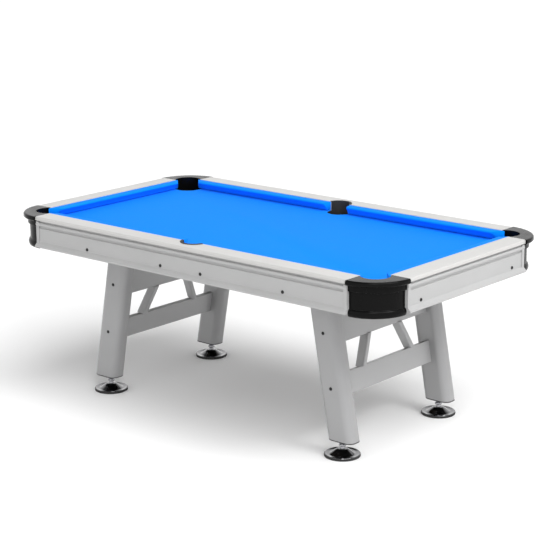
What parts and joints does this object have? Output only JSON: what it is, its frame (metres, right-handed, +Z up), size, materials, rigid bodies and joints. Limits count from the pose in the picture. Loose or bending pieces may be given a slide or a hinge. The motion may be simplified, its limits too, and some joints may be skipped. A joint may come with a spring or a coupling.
{
  "type": "pool table",
  "caption": "Pool table with a cloth bed, cushioned rails, drop pockets, rounded corner castings, splayed tube legs in braced end frames and screw levelling feet.",
  "frame": {"origin": "on the floor under the middle of the table", "axes": "+X along the table, +Y across it to the far long side, +Z up"},
  "size_m": [2.046, 1.146, 0.802],
  "materials": {
    "board": "matt fibreboard",
    "bed_cloth": "napped billiard cloth",
    "cushion_cloth": "napped billiard cloth over rubber",
    "rail_top": "satin grey laminate",
    "apron": "satin silver-grey laminate",
    "casting": "glossy black moulding",
    "pocket": "matt black moulded pocket",
    "beam": "raw timber",
    "leg": "satin silver-grey paint",
    "frame": "satin grey paint",
    "end_cap": "matt black",
    "insert": "zinc plated",
    "bolt": "blackened steel",
    "stud": "bright zinc plate",
    "disc": "polished",
    "pad": "matt"
  },
  "bodies": {
    "table": {"bed_board": "board", "bed_cloth": "bed_cloth", "rail_near_left": "rail_top", "cushion_near_left": "cushion_cloth", "rail_near_right": "rail_top", "cushion_near_right": "cushion_cloth", "rail_far_left": "rail_top", "cushion_far_left": "cushion_cloth", "rail_far_right": "rail_top", "cushion_far_right": "cushion_cloth", "rail_end_left": "rail_top", "cushion_end_left": "cushion_cloth", "rail_end_right": "rail_top", "cushion_end_right": "cushion_cloth", "corner_near_left": "casting", "cup_near_left": "pocket", "leg_near_left": "leg", "brace_near_left": "frame", "corner_near_right": "casting", "cup_near_right": "pocket", "leg_near_right": "leg", "brace_near_right": "frame", "corner_far_left": "casting", "cup_far_left": "pocket", "leg_far_left": "leg", "brace_far_left": "frame", "corner_far_right": "casting", "cup_far_right": "pocket", "leg_far_right": "leg", "brace_far_right": "frame", "side_pocket_near": "pocket", "long_beam_near": "beam", "side_pocket_far": "pocket", "long_beam_far": "beam", "apron_near": "apron", "apron_far": "apron", "apron_left": "apron", "apron_right": "apron", "cross_beam_left": "beam", "cross_beam_middle": "beam", "cross_beam_right": "beam", "top_rail_left": "frame", "stretcher_left": "frame", "top_rail_right": "frame", "stretcher_right": "frame", "leg_end_caps": "end_cap", "stud_inserts": "insert", "frame_bolts": "bolt"},
    "foot_near_left": {"disc_near_left": "disc", "pad_near_left": "pad"},
    "screw_near_left": {"stud_near_left": "stud"},
    "foot_near_right": {"disc_near_right": "disc", "pad_near_right": "pad"},
    "screw_near_right": {"stud_near_right": "stud"},
    "foot_far_left": {"disc_far_left": "disc", "pad_far_left": "pad"},
    "screw_far_left": {"stud_far_left": "stud"},
    "foot_far_right": {"disc_far_right": "disc", "pad_far_right": "pad"},
    "screw_far_right": {"stud_far_right": "stud"}
  },
  "joints": [
    {"name": "foot_slide_near_left", "type": "slide", "parent": "table", "child": "foot_near_left", "axis": [0, 0, -1], "range_m": [-0.015, 0.015]},
    {"name": "screw_turn_near_left", "type": "hinge", "parent": "foot_near_left", "child": "screw_near_left", "pos_m": [-0.653, -0.33, 0.1], "axis": [0, 0, 1], "range_deg": [-2162, 2162]},
    {"name": "foot_slide_near_right", "type": "slide", "parent": "table", "child": "foot_near_right", "axis": [0, 0, -1], "range_m": [-0.015, 0.015]},
    {"name": "screw_turn_near_right", "type": "hinge", "parent": "foot_near_right", "child": "screw_near_right", "pos_m": [0.653, -0.33, 0.1], "axis": [0, 0, 1], "range_deg": [-2162, 2162]},
    {"name": "foot_slide_far_left", "type": "slide", "parent": "table", "child": "foot_far_left", "axis": [0, 0, -1], "range_m": [-0.015, 0.015]},
    {"name": "screw_turn_far_left", "type": "hinge", "parent": "foot_far_left", "child": "screw_far_left", "pos_m": [-0.653, 0.33, 0.1], "axis": [0, 0, 1], "range_deg": [-2162, 2162]},
    {"name": "foot_slide_far_right", "type": "slide", "parent": "table", "child": "foot_far_right", "axis": [0, 0, -1], "range_m": [-0.015, 0.015]},
    {"name": "screw_turn_far_right", "type": "hinge", "parent": "foot_far_right", "child": "screw_far_right", "pos_m": [0.653, 0.33, 0.1], "axis": [0, 0, 1], "range_deg": [-2162, 2162]}
  ],
  "couplings": [
    {"joint": "screw_turn_near_left", "follows": "foot_slide_near_left", "rad_per_m": 2513.3},
    {"joint": "screw_turn_near_right", "follows": "foot_slide_near_right", "rad_per_m": 2513.3},
    {"joint": "screw_turn_far_left", "follows": "foot_slide_far_left", "rad_per_m": 2513.3},
    {"joint": "screw_turn_far_right", "follows": "foot_slide_far_right", "rad_per_m": 2513.3}
  ]
}
